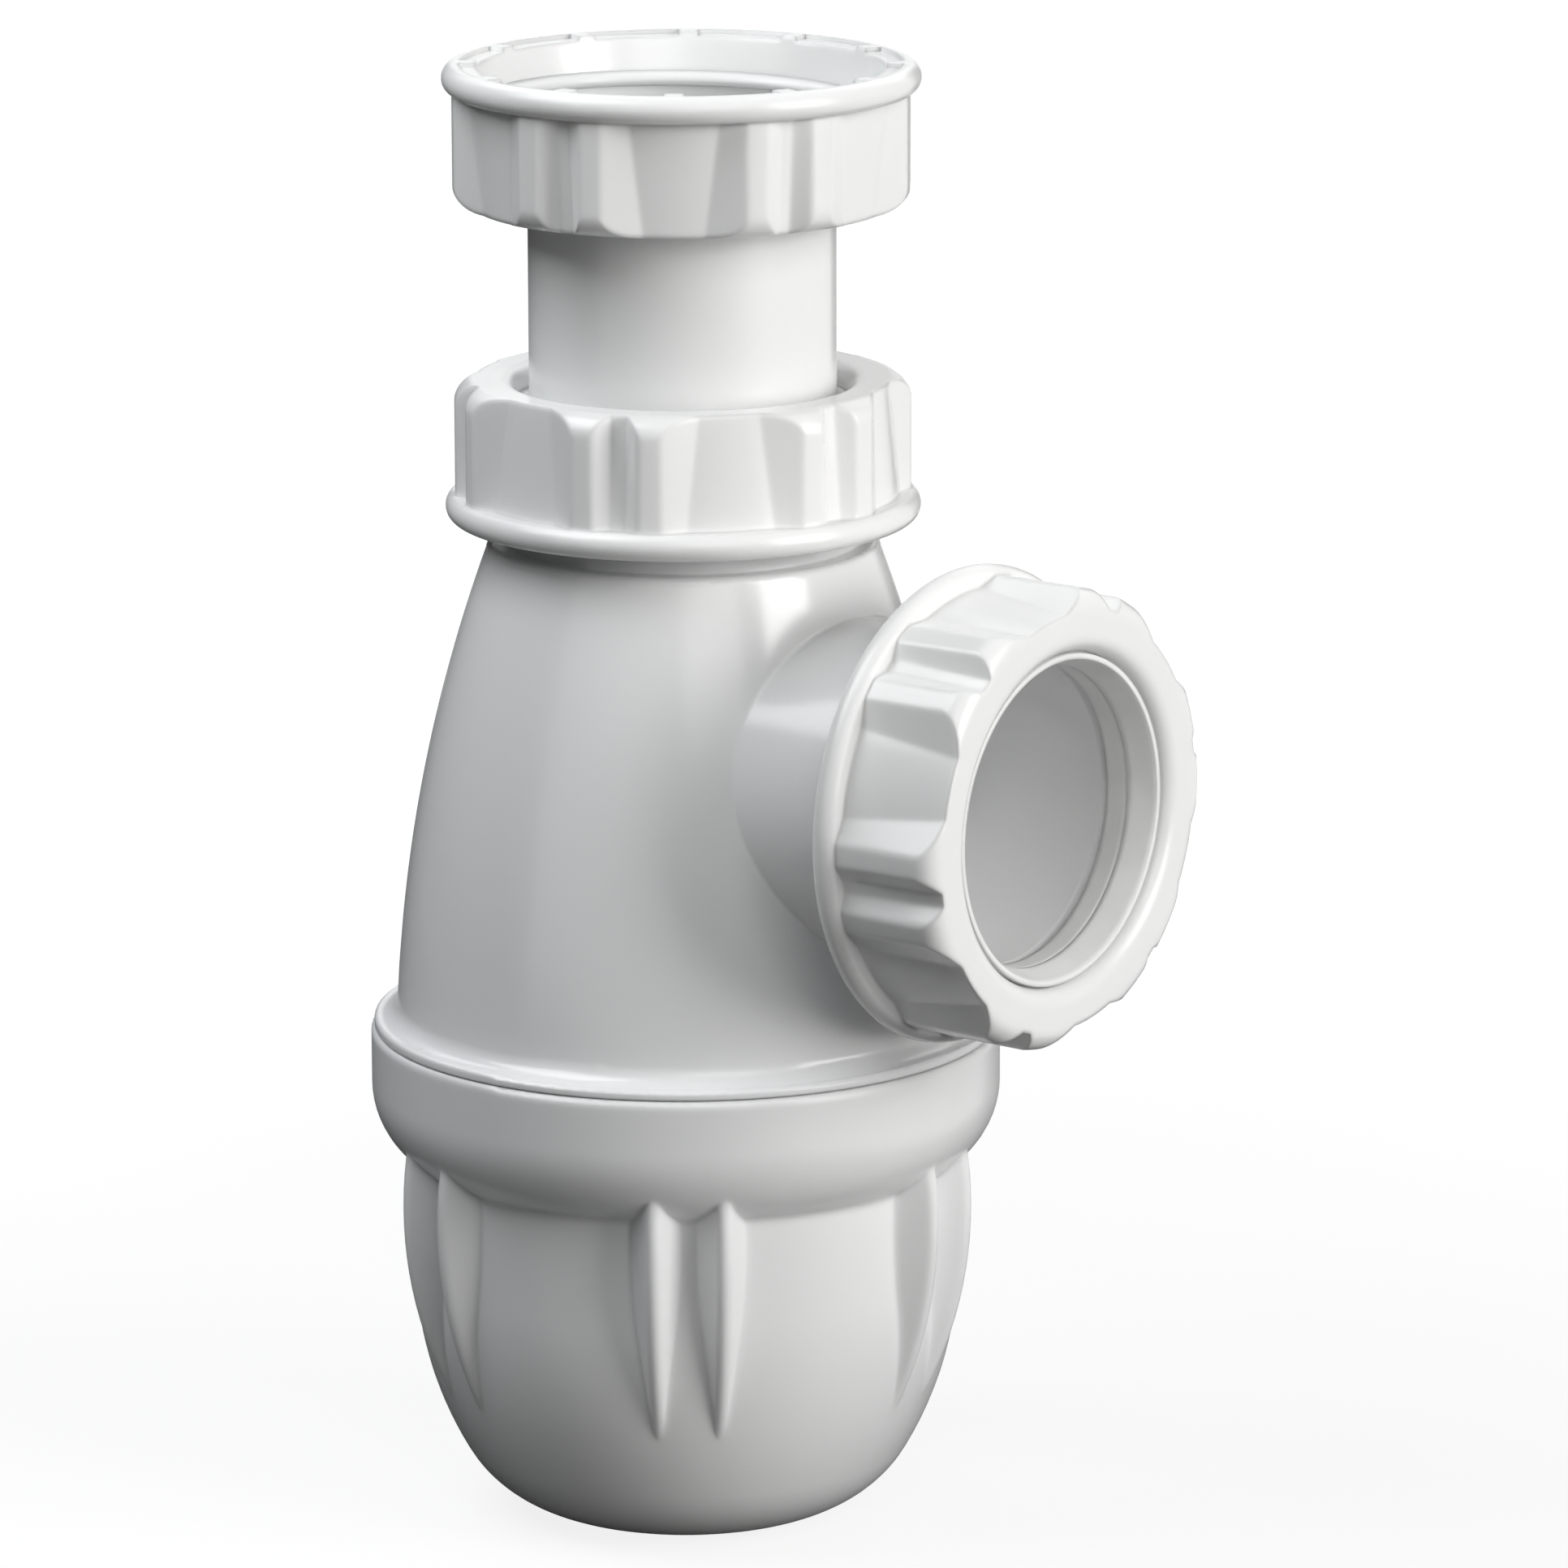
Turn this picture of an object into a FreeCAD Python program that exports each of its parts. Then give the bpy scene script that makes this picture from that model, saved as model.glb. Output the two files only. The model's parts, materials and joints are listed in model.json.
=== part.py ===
import FreeCAD, Part
import math
import os
import Sketcher
from FreeCAD import Placement, Rotation, Vector

# Bottle trap for a wash basin, with a telescopic inlet and a screwed cup.
# Millimetres. The origin is on the trap's axis at the face that the cup stands on.
# +Z runs up the trap's axis and +X runs out along the outlet's axis.

SIZES = (
    # telescopic tube
    ("tube_r", 16.7, "outside radius of the inlet tube"),
    ("tube_wall", 1.8, "wall of the inlet tube"),
    ("tube_length", 65.6, "length of the inlet tube under its flange and with it"),
    ("tube_shown", 19.0, "tube left bare between the collar nut and the inlet nut"),
    ("tube_flange_proud", 2.5, "flange of the inlet tube outside its wall"),
    ("tube_flange_height", 2.3, "thickness of the tube's flange"),
    ("tube_edge", 0.6, "chamfer at the tube's lower end"),
    ("slide_clearance", 0.3, "gap round the tube in the neck and its slip ring"),
    ("seal_clearance", 0.05, "gap between a seal and what slides or sits in it"),
    # the one nut moulding that is used three times
    ("nut_height", 15.4, "height of a nut"),
    ("nut_lip", 2.4, "thickness of a nut's closed end"),
    ("nut_hole_gap", 1.43, "gap between the tube and a nut's hole"),
    ("nut_hole_round", 1.8, "rounding of the hole's outer edge"),
    ("nut_wall", 3.8, "wall from the thread's root to the grips"),
    ("nut_corner", 2.4, "rounding of the closed end's outer corner"),
    ("nut_relief", 0.4, "relief past the thread, outside its root"),
    ("nut_flare", 1.2, "widening of the thread's mouth"),
    ("nut_flare_depth", 4.0, "depth of the plain mouth before the thread"),
    ("bead_proud", 1.05, "bead round the open end, outside the grips"),
    ("bead_height", 2.9, "height of the bead"),
    ("bead_round", 1.5, "rounding of the bead"),
    ("bead_flat", 0.25, "flat step between the bead's rounding and the grips"),
    ("rim_pocket_depth", 0.5, "depth of the shallow pockets in a nut's rim"),
    ("rim_pocket_inset", 0.35, "land between a rim pocket and the bead's rounding"),
    ("rim_bar", 5.0, "angle of the bar between two rim pockets"),
    ("thread_depth", 1.65, "depth left for the fine thread in the nuts"),
    # grips of a nut
    ("grip_count", 6, "pairs of ridges round a nut"),
    ("grip_edge", 18.3, "half angle of a wide scallop at the ridges"),
    ("grip_floor_open", 11.8, "half angle of its floor beside the bead"),
    ("grip_floor_closed", 7.6, "half angle of its floor at the closed end"),
    ("grip_deep_open", 1.2, "depth of the wide scallop beside the bead"),
    ("grip_deep_closed", 2.4, "depth of the wide scallop at the closed end"),
    ("groove_edge", 5.9, "half angle of the narrow groove at the ridges"),
    ("groove_floor", 1.8, "half angle of the narrow groove's floor"),
    ("groove_deep_open", 1.1, "depth of the narrow groove beside the bead"),
    ("groove_deep_closed", 2.1, "depth of the narrow groove at the closed end"),
    ("grip_round", 0.9, "rounding of the ridges' long edges"),
    ("inlet_nut_turn", 6.5, "turn of the inlet nut about the trap's axis"),
    ("collar_nut_turn", 21.3, "turn of the collar nut about the trap's axis"),
    ("outlet_nut_turn", 40.5, "turn of the outlet nut about the outlet's axis"),
    # washers, slip rings and seals
    ("washer_height", 2.4, "thickness of the inlet washer"),
    ("washer_inset", 0.3, "washer's hole outside the tube's bore"),
    ("washer_fit", 0.1, "gap between the washer's edge and the nut's relief"),
    ("washer_play", 0.3, "relief left over the washer"),
    ("ring_height", 2.0, "thickness of a slip ring"),
    ("ring_edge", 0.4, "chamfer of the collar's slip ring"),
    ("ring_collar_gap", 0.25, "gap between the outlet ring's collar and the nut's hole"),
    ("ring_collar_height", 1.3, "outlet ring's collar inside the nut's hole"),
    ("ring_lead_wide", 1.0, "widening of the outlet ring's conical hole"),
    ("ring_lead_depth", 2.9, "depth of that cone"),
    ("seal_head", 1.2, "thickness of a cone seal's head"),
    ("loose_over", 0.15, "edge of slip rings and seals outside the neck's thread root"),
    ("mouth_wide", 1.4, "widening of the neck's mouth for the cone seal"),
    ("mouth_depth", 2.6, "depth of the neck's conical mouth"),
    # neck and outlet branch
    ("neck_wall", 2.35, "wall of the neck at its thread root"),
    ("neck_height", 12.3, "neck above the shoulder"),
    ("spigot_wall", 1.6, "wall of the spigot that carries the dip tube"),
    ("spigot_length", 7.0, "length of that spigot"),
    ("outlet_rise", 29.92, "outlet's axis above the seam flange's underside"),
    ("branch_out", 14.7, "end of the branch outside the shell's widest radius"),
    ("branch_thread", 9.3, "length of the branch's thick end"),
    ("pipe_less", 0.4, "outlet's ring and seal inside the tube's radius, for a 32 mm pipe"),
    ("bore_ease", 0.25, "branch's bore outside the seal's"),
    ("branch_wall", 2.0, "wall of the plain branch"),
    ("branch_blend", 0.4, "fillet between branch and shell"),
    ("stop_depth", 1.2, "pipe stop inside the branch's bore"),
    ("stop_width", 1.2, "pipe stop left outside the shell's inner radius"),
    # shell
    ("shell_inset", 2.37, "shell's widest radius inside the seam flange"),
    ("shell_wide_drop", 5.68, "that widest point under the seam flange"),
    ("shoulder_step", 1.87, "shoulder's edge outside the neck's thread root"),
    ("shell_wall", 2.4, "wall of the shell"),
    ("shell_height", 54.02, "shoulder above the seam flange's underside"),
    ("shoulder_round", 0.8, "rounding of the shoulder's edge"),
    ("roof_drop", 7.0, "roof of the chamber under the shoulder"),
    ("flange_step", 0.35, "seam flange inside the cup's rim"),
    ("flange_edge", 1.0, "height of the seam flange at its edge"),
    ("flange_round", 0.4, "rounding of that edge"),
    ("flange_land", 0.2, "flat between the edge's rounding and the hollow curve"),
    ("flange_height", 3.1, "height at which the hollow curve meets the shell"),
    ("seam_gap", 0.18, "gap that shows between flange and cup"),
    ("cup_thread_depth", 1.2, "depth left for the coarse thread under the flange"),
    # dip tube
    ("dip_length", 81.0, "length of the dip tube"),
    ("dip_wall", 1.7, "wall of the dip tube"),
    ("dip_bevel", 0.8, "chamfer at the dip tube's lower end"),
    # cup
    ("cup_thread_r", 32.3, "radius of the cup's thread root"),
    ("cup_inset", 4.51, "cup's plain side inside its rim band"),
    ("cup_side_r", 41.0, "radius of the side's curve"),
    ("cup_foot_r", 14.2, "radius of the curve into the base"),
    ("cup_turn", 30.0, "slope from upright where the two curves meet"),
    ("cup_wall", 2.2, "wall of the cup"),
    ("cup_height", 54.8, "height of the cup"),
    ("rim_wall", 2.35, "wall of the rim band at the thread root"),
    ("rim_band", 6.33, "straight height of the rim band"),
    ("rim_curve_r", 9.6, "radius of the curve under the rim band"),
    ("rim_round", 0.5, "rounding of the rim's upper edge"),
    ("rim_blend", 0.8, "fillet between the rim's curve and the cup's side"),
    ("ledge_drop", 10.2, "ledge that carries the cup's seal, under the rim"),
    ("ledge_inset", 1.1, "ledge's edge inside the thread root"),
    ("ledge_rise", 1.8, "cone between ledge and thread root"),
    ("cup_seal_height", 2.2, "thickness of the cup's seal"),
    ("cup_seal_inset", 0.7, "seal's hole outside the ledge's hole"),
    # ribs of the cup
    ("rib_pairs", 6, "pairs of ribs round the cup"),
    ("rib_offset", 6.7, "half angle between the two ribs of a pair"),
    ("rib_pairs_turn", 8.85, "turn of the pairs about the trap's axis"),
    ("rib_proud", 3.56, "greatest height of a rib outside the cup's side"),
    ("rib_crest_drop", 17.8, "that greatest radius under the rim"),
    ("rib_curve_r", 46.3, "radius of the crest's curve"),
    ("rib_nose_r", 0.9, "rounding of the crest"),
    ("rib_slope", 32.0, "slope of a rib's flank from its middle plane"),
    ("rib_root", 5.5, "depth that a rib is drawn to, inside the cup's side"),
    ("rib_above", 12.0, "arc of the rib above its greatest radius"),
    ("rib_sweep", 48.0, "whole arc of the rib"),
)


# two places closer than this are the same
SAME = 0.02


class Size:
    """A number with the formula on the sheet's cells that gives it."""

    def __init__(self, value, formula):
        self.value = value
        self.formula = formula

    def __add__(self, other):
        other = as_size(other)
        return Size(self.value + other.value, "(%s + %s)" % (self.formula, other.formula))

    def __sub__(self, other):
        other = as_size(other)
        return Size(self.value - other.value, "(%s - %s)" % (self.formula, other.formula))

    def __mul__(self, other):
        other = as_size(other)
        return Size(self.value * other.value, "%s * %s" % (self.formula, other.formula))

    def __truediv__(self, other):
        other = as_size(other)
        return Size(self.value / other.value, "%s / (%s)" % (self.formula, other.formula))

    def __neg__(self):
        return Size(-self.value, "(0 - %s)" % self.formula)


def as_size(number):
    """A plain number is its own formula."""
    return number if isinstance(number, Size) else Size(float(number), repr(number))


def cosine(angle):
    return Size(math.cos(math.radians(angle.value)), "cos(%s)" % angle.formula)


def sine(angle):
    return Size(math.sin(math.radians(angle.value)), "sin(%s)" % angle.formula)


def tangent(angle):
    return Size(math.tan(math.radians(angle.value)), "tan(%s)" % angle.formula)


def other_leg(longest, leg):
    """The third side of a right triangle."""
    value = math.sqrt(longest.value ** 2 - leg.value ** 2)
    return Size(value, "sqrt(pow(%s; 2) - pow(%s; 2))" % (longest.formula, leg.formula))


class Corner:
    """A point of an outline, reached by a straight line or by an arc.

    An arc has a radius, and its centre lies left or right of the way to the corner."""

    def __init__(self, x, y, radius=None, centre=None):
        self.x = as_size(x)
        self.y = as_size(y)
        self.radius = radius
        self.centre = centre


def make_sheet(doc):
    """The driving sizes, one row each: name, value and what it is."""
    sheet = doc.addObject("Spreadsheet::Sheet", "sizes")
    for row, (alias, value, note) in enumerate(SIZES, start=1):
        sheet.set("A%d" % row, alias)
        sheet.set("B%d" % row, str(value))
        sheet.set("C%d" % row, note)
        sheet.setAlias("B%d" % row, alias)
    doc.recompute()
    return {alias: Size(float(value), "sizes." + alias) for alias, value, note in SIZES}


def origin_part(body, role):
    """One of the body's own origin planes or axes."""
    return next(part for part in body.Origin.OriginFeatures if part.Role == role)


def make_body(doc, label):
    body = doc.addObject("PartDesign::Body", label)
    body.Label = label
    return body


def arc_between(start, end, radius, centre):
    """An arc from start to end, and whether it has to be drawn backwards."""
    chord = end - start
    half = chord.Length / 2
    rise = math.sqrt(max(radius * radius - half * half, 0.0))
    left = Vector(-chord.y, chord.x, 0).normalize()
    middle = (start + end) * 0.5
    hub = middle + left * (rise if centre == "left" else -rise)
    first, last = (start, end) if centre == "left" else (end, start)
    circle = Part.Circle(hub, Vector(0, 0, 1), radius)
    first_angle = math.atan2(first.y - hub.y, first.x - hub.x)
    last_angle = math.atan2(last.y - hub.y, last.x - hub.x)
    return Part.ArcOfCircle(circle, first_angle, last_angle), centre == "right"


def hold(sketch, kind, item, end, size):
    """Holds one coordinate of a point to its formula."""
    if abs(size.value) < 1e-9 and size.formula == "0":
        axis = -2 if kind == "DistanceX" else -1
        sketch.addConstraint(Sketcher.Constraint("PointOnObject", item, end, axis))
        return
    if size.value < 0:
        index = sketch.addConstraint(Sketcher.Constraint(kind, item, end, -1, 1, -size.value))
        sketch.setExpression("Constraints[%d]" % index, (-size).formula)
    else:
        index = sketch.addConstraint(Sketcher.Constraint(kind, -1, 1, item, end, size.value))
        sketch.setExpression("Constraints[%d]" % index, size.formula)


def draw(body, name, plane, corners):
    """A closed outline on one of the body's origin planes, every corner held to its formula."""
    sketch = body.newObject("Sketcher::SketchObject", name)
    sketch.AttachmentSupport = [(origin_part(body, plane), "")]
    sketch.MapMode = "FlatFace"
    points = [Vector(corner.x.value, corner.y.value, 0) for corner in corners]
    ends = []
    for index, corner in enumerate(corners):
        start, end = points[index - 1], points[index]
        if corner.radius is None:
            item = sketch.addGeometry(Part.LineSegment(start, end), False)
            ends.append((item, 1, 2))
            continue
        arc, backwards = arc_between(start, end, corner.radius.value, corner.centre)
        item = sketch.addGeometry(arc, False)
        ends.append((item, 2, 1) if backwards else (item, 1, 2))
        held = sketch.addConstraint(Sketcher.Constraint("Radius", item, corner.radius.value))
        sketch.setExpression("Constraints[%d]" % held, corner.radius.formula)
    for index, corner in enumerate(corners):
        item, first, last = ends[index]
        after, after_first, after_last = ends[(index + 1) % len(ends)]
        sketch.addConstraint(Sketcher.Constraint("Coincident", item, last, after, after_first))
        hold(sketch, "DistanceX", item, last, corner.x)
        hold(sketch, "DistanceY", item, last, corner.y)
    return sketch


def lift(sketch, axis, size):
    """Moves a sketch from its plane, along one of the plane's own directions."""
    sketch.setExpression("AttachmentOffset.Base." + axis, size.formula)
    offset = sketch.AttachmentOffset
    setattr(offset.Base, axis, size.value)
    sketch.AttachmentOffset = offset


def spin(body, kind, name, sketch, axis="V_Axis", angle=None):
    """A Revolution or a Groove of a sketch about one of its own axes."""
    feature = body.newObject("PartDesign::" + kind, name)
    feature.Profile = sketch
    feature.ReferenceAxis = (sketch, [axis])
    feature.Angle = 360
    if angle is not None:
        feature.Angle = angle.value
        feature.setExpression("Angle", angle.formula)
    sketch.Visibility = False
    return feature


def pick_edges(shape, wanted):
    """Names of the edges whose points, five along each, pass a test."""
    names = []
    for index, edge in enumerate(shape.Edges, start=1):
        first, last = edge.ParameterRange
        along = [edge.valueAt(first + (last - first) * part / 4) for part in range(5)]
        if wanted(along):
            names.append("Edge%d" % index)
    return names


def round_edges(doc, body, name, radius, wanted):
    """A fillet on the last feature's edges that pass a test."""
    base = body.Tip
    fillet = body.newObject("PartDesign::Fillet", name)
    fillet.Base = (base, pick_edges(base.Shape, wanted))
    fillet.Radius = radius.value
    fillet.setExpression("Radius", radius.formula)
    doc.recompute()
    return fillet


def on_circle(radius, height):
    """A test for edges that run round the Z axis at a radius and a height."""
    def wanted(along):
        at_r = all(abs(math.hypot(at.x, at.y) - radius.value) < SAME for at in along)
        return at_r and all(abs(at.z - height.value) < SAME for at in along)
    return wanted


def up_cylinder(radius, least):
    """A test for edges that climb a cylinder round the Z axis by at least so much."""
    def wanted(along):
        at_r = all(abs(math.hypot(at.x, at.y) - radius.value) < SAME for at in along)
        return at_r and abs(along[0].z - along[-1].z) > least.value
    return wanted


def round_branch(radius, height, least):
    """A test for edges that curve on a cylinder along X, neither straight nor square to it."""
    def wanted(along):
        at_r = all(abs(math.hypot(at.y, at.z - height.value) - radius.value) < SAME for at in along)
        deep = max(at.x for at in along) - min(at.x for at in along)
        tall = max(at.z for at in along) - min(at.z for at in along)
        return at_r and deep > least.value and tall > least.value
    return wanted


def repeat_round(doc, body, name, features, count):
    """The features again, all round the body's Z axis."""
    pattern = body.newObject("PartDesign::PolarPattern", name)
    pattern.Originals = features
    pattern.Axis = (origin_part(body, "Z_Axis"), [""])
    pattern.Angle = 360
    pattern.Occurrences = int(count.value)
    pattern.setExpression("Occurrences", count.formula)
    body.Tip = pattern
    doc.recompute()
    return pattern


def place(body, x, z, turn_about_axis, tip_over=None):
    """Puts a body on the trap's X and Z axes, turned about its own axis first."""
    turn = Rotation(Vector(0, 0, 1), turn_about_axis.value if turn_about_axis else 0)
    body.Placement = Placement(Vector(x.value, 0, z.value), (tip_over or Rotation()) * turn)
    body.setExpression("Placement.Base.x", x.formula)
    body.setExpression("Placement.Base.z", z.formula)


# Sizes and places that follow from the driving sizes

def work_out(s):
    """Adds the sizes that more than one piece needs."""
    s["nil"] = as_size(0)
    s["neck_bore_r"] = s["tube_r"] + s["slide_clearance"]
    s["thread_root_r"] = s["neck_bore_r"] + s["neck_wall"]
    s["nut_bore_r"] = s["thread_root_r"] + s["thread_depth"]
    s["relief_r"] = s["nut_bore_r"] + s["nut_relief"]
    s["grip_r"] = s["nut_bore_r"] + s["nut_wall"]
    s["bead_r"] = s["grip_r"] + s["bead_proud"]
    s["nut_hole_r"] = s["tube_r"] + s["nut_hole_gap"]
    s["nut_seat"] = s["nut_height"] - s["nut_lip"]
    s["relief_z"] = (s["nut_seat"] - s["tube_flange_height"] - s["washer_height"]
                     - s["washer_play"])
    s["loose_r"] = s["thread_root_r"] + s["loose_over"]
    s["mouth_r"] = s["neck_bore_r"] + s["mouth_wide"]
    s["pipe_bore_r"] = s["tube_r"] - s["pipe_less"]
    s["branch_bore_r"] = s["pipe_bore_r"] + s["bore_ease"]
    s["branch_mouth_r"] = s["branch_bore_r"] + s["mouth_wide"]
    s["spigot_r"] = s["neck_bore_r"] + s["spigot_wall"]
    s["branch_r"] = s["pipe_bore_r"] + s["branch_wall"]
    s["rim_r"] = s["cup_thread_r"] + s["rim_wall"]
    s["cup_r"] = s["rim_r"] - s["cup_inset"]
    s["skirt_r"] = s["cup_thread_r"] - s["cup_thread_depth"]
    s["ledge_r"] = s["cup_thread_r"] - s["ledge_inset"]
    s["cup_bore_r"] = s["cup_r"] - s["cup_wall"]
    s["flange_r"] = s["rim_r"] - s["flange_step"]
    s["shell_wide_r"] = s["flange_r"] - s["shell_inset"]
    s["shoulder_r"] = s["thread_root_r"] + s["shoulder_step"]
    s["outlet_reach"] = s["shell_wide_r"] + s["branch_out"]
    # heights, from the base up
    s["ledge_z"] = s["cup_height"] - s["ledge_drop"]
    s["rib_crest_z"] = s["cup_height"] - s["rib_crest_drop"]
    s["skirt_z"] = s["ledge_z"] + s["cup_seal_height"]
    s["flange_z"] = s["cup_height"] + s["seam_gap"]
    s["flange_top_z"] = s["flange_z"] + s["flange_height"]
    s["outlet_z"] = s["flange_z"] + s["outlet_rise"]
    s["shoulder_z"] = s["flange_z"] + s["shell_height"]
    s["roof_z"] = s["shoulder_z"] - s["roof_drop"]
    s["neck_z"] = s["shoulder_z"] + s["neck_height"]
    s["seal_stack"] = s["seal_head"] + s["ring_height"]
    s["collar_nut_z"] = s["neck_z"] + s["seal_stack"] - s["nut_seat"]
    s["collar_top_z"] = s["collar_nut_z"] + s["nut_height"]
    s["inlet_seat_z"] = s["collar_top_z"] + s["tube_shown"] + s["nut_lip"]
    s["inlet_top_z"] = s["inlet_seat_z"] + s["nut_seat"]
    s["outlet_nut_x"] = s["outlet_reach"] + s["seal_stack"] - s["nut_seat"]
    # the shell's long curve stands upright at its widest and ends at the shoulder's edge
    s["shell_wide_z"] = s["flange_z"] - s["shell_wide_drop"]
    drawn_in = s["shell_wide_r"] - s["shoulder_r"]
    rise = s["shoulder_z"] - s["shell_wide_z"]
    s["shell_curve_r"] = (drawn_in * drawn_in + rise * rise) / (drawn_in * 2)


def shell_r_at(s, z, inset):
    """Radius of the shell's long curve at a height, less an inset."""
    reach = other_leg(s["shell_curve_r"] - inset, z - s["shell_wide_z"])
    return s["shell_wide_r"] - s["shell_curve_r"] + reach


# Nuts

def scallop(doc, body, s, name, middle, edge, floors, depths):
    """A grip scallop: a loft from beside the bead to past the closed end."""
    sketches = []
    outside = s["bead_r"] + s["nut_wall"]
    stations = (("open", s["bead_height"]), ("closed", s["nut_height"] + s["nut_lip"]))
    for (station, z), floor, depth in zip(stations, floors, depths):
        floor_r = s["grip_r"] - depth
        floor_x, floor_y = floor_r * cosine(floor), floor_r * sine(floor)
        edge_x, edge_y = s["grip_r"] * cosine(edge), s["grip_r"] * sine(edge)
        past_x, past_y = edge_x * 2 - floor_x, edge_y * 2 - floor_y
        sketch = draw(body, name + "_" + station, "XY_Plane", [
            Corner(past_x, -past_y),
            Corner(floor_x, -floor_y),
            Corner(floor_x, floor_y, floor_r, "left"),
            Corner(past_x, past_y),
            Corner(outside, past_y),
            Corner(outside, -past_y),
        ])
        lift(sketch, "z", z)
        offset = sketch.AttachmentOffset
        offset.Rotation = Rotation(Vector(0, 0, 1), middle)
        sketch.AttachmentOffset = offset
        sketches.append(sketch)
    cut = body.newObject("PartDesign::SubtractiveLoft", name)
    cut.Profile = sketches[0]
    cut.Sections = [sketches[1]]
    cut.Ruled = True
    doc.recompute()
    return cut


def make_nut(doc, s, label):
    """A hand nut, closed end up: a bead round its mouth, six pairs of ridges and a plain hole."""
    body = make_body(doc, label)
    mouth_r = s["nut_bore_r"] + s["nut_flare"]
    land_r = s["bead_r"] - s["bead_round"]
    outline = draw(body, label + "_section", "XZ_Plane", [
        Corner(s["nut_hole_r"], s["nut_seat"]),
        Corner(s["relief_r"], s["nut_seat"]),
        Corner(s["relief_r"], s["relief_z"]),
        Corner(s["nut_bore_r"], s["relief_z"]),
        Corner(s["nut_bore_r"], s["nut_flare_depth"]),
        Corner(mouth_r, 0),
        Corner(land_r, 0),
        Corner(s["bead_r"], s["bead_round"], s["bead_round"], "left"),
        Corner(s["grip_r"] + s["bead_flat"], s["bead_height"], s["bead_round"], "left"),
        Corner(s["grip_r"], s["bead_height"]),
        Corner(s["grip_r"], s["nut_height"]),
        Corner(s["nut_hole_r"] + s["nut_hole_round"], s["nut_height"]),
        Corner(s["nut_hole_r"], s["nut_height"] - s["nut_hole_round"], s["nut_hole_round"], "left"),
    ])
    spin(body, "Revolution", label + "_turned", outline)
    doc.recompute()
    half_pitch = 180 / s["grip_count"].value
    wide = scallop(doc, body, s, label + "_scallop", 0, s["grip_edge"],
                   (s["grip_floor_open"], s["grip_floor_closed"]),
                   (s["grip_deep_open"], s["grip_deep_closed"]))
    narrow = scallop(doc, body, s, label + "_groove", half_pitch, s["groove_edge"],
                     (s["groove_floor"], s["groove_floor"]),
                     (s["groove_deep_open"], s["groove_deep_closed"]))
    repeat_round(doc, body, label + "_grips", [wide, narrow], s["grip_count"])
    round_edges(doc, body, label + "_ridges", s["grip_round"],
                up_cylinder(s["grip_r"], s["nut_lip"]))
    corner_r = s["grip_r"] - s["nut_corner"]
    outside = s["grip_r"] + s["nut_corner"]
    corner = draw(body, label + "_corner", "XZ_Plane", [
        Corner(s["grip_r"], s["nut_height"] - s["nut_corner"]),
        Corner(outside, s["nut_height"] - s["nut_corner"]),
        Corner(outside, s["nut_height"] + s["nut_corner"]),
        Corner(corner_r, s["nut_height"] + s["nut_corner"]),
        Corner(corner_r, s["nut_height"]),
        Corner(s["grip_r"], s["nut_height"] - s["nut_corner"], s["nut_corner"], "right"),
    ][1:])
    spin(body, "Groove", label + "_rounded", corner)
    pocket = draw(body, label + "_rim_pocket", "XZ_Plane", [
        Corner(s["nut_bore_r"], 0),
        Corner(land_r - s["rim_pocket_inset"], 0),
        Corner(land_r - s["rim_pocket_inset"], s["rim_pocket_depth"]),
        Corner(s["nut_bore_r"], s["rim_pocket_depth"]),
    ])
    turned = pocket.AttachmentOffset
    turned.Rotation = Rotation(Vector(0, 1, 0), half_pitch / 2)
    pocket.AttachmentOffset = turned
    pocket_angle = as_size(180) / s["grip_count"] - s["rim_bar"]
    cut = spin(body, "Groove", label + "_pocket", pocket, "V_Axis", pocket_angle)
    cut.Midplane = True
    doc.recompute()
    repeat_round(doc, body, label + "_rim", [cut], s["grip_count"] * 2)
    return body


def make_nuts(doc, s):
    upside_down = Rotation(Vector(1, 0, 0), 180)
    along_outlet = Rotation(Vector(1, 1, 1), 120)
    place(make_nut(doc, s, "inlet_nut"), s["nil"], s["inlet_top_z"],
          -s["inlet_nut_turn"], upside_down)
    place(make_nut(doc, s, "collar_nut"), s["nil"], s["collar_nut_z"], s["collar_nut_turn"])
    place(make_nut(doc, s, "outlet_nut"), s["outlet_nut_x"], s["outlet_z"],
          s["outlet_nut_turn"], along_outlet)


# Tubes

def make_inlet_tube(doc, s):
    """Plain telescopic tube with a flange that the inlet nut catches."""
    body = make_body(doc, "inlet_tube")
    bore_r = s["tube_r"] - s["tube_wall"]
    flange_r = s["tube_r"] + s["tube_flange_proud"]
    top = s["inlet_seat_z"] + s["tube_flange_height"]
    bottom = top - s["tube_length"]
    outline = draw(body, "inlet_tube_section", "XZ_Plane", [
        Corner(bore_r, bottom),
        Corner(s["tube_r"] - s["tube_edge"], bottom),
        Corner(s["tube_r"], bottom + s["tube_edge"]),
        Corner(s["tube_r"], s["inlet_seat_z"]),
        Corner(flange_r, s["inlet_seat_z"]),
        Corner(flange_r, top),
        Corner(bore_r, top),
    ])
    spin(body, "Revolution", "inlet_tube_turned", outline)


def make_dip_tube(doc, s):
    """Tube pushed over the spigot under the neck, down into the cup's water."""
    body = make_body(doc, "dip_tube")
    bore_r = s["spigot_r"] + s["seal_clearance"]
    outside_r = bore_r + s["dip_wall"]
    bottom = s["roof_z"] - s["dip_length"]
    outline = draw(body, "dip_tube_section", "XZ_Plane", [
        Corner(bore_r, bottom),
        Corner(outside_r - s["dip_bevel"], bottom),
        Corner(outside_r, bottom + s["dip_bevel"]),
        Corner(outside_r, s["roof_z"]),
        Corner(bore_r, s["roof_z"]),
    ])
    spin(body, "Revolution", "dip_tube_turned", outline)


# Washer, slip rings and seals

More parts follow.
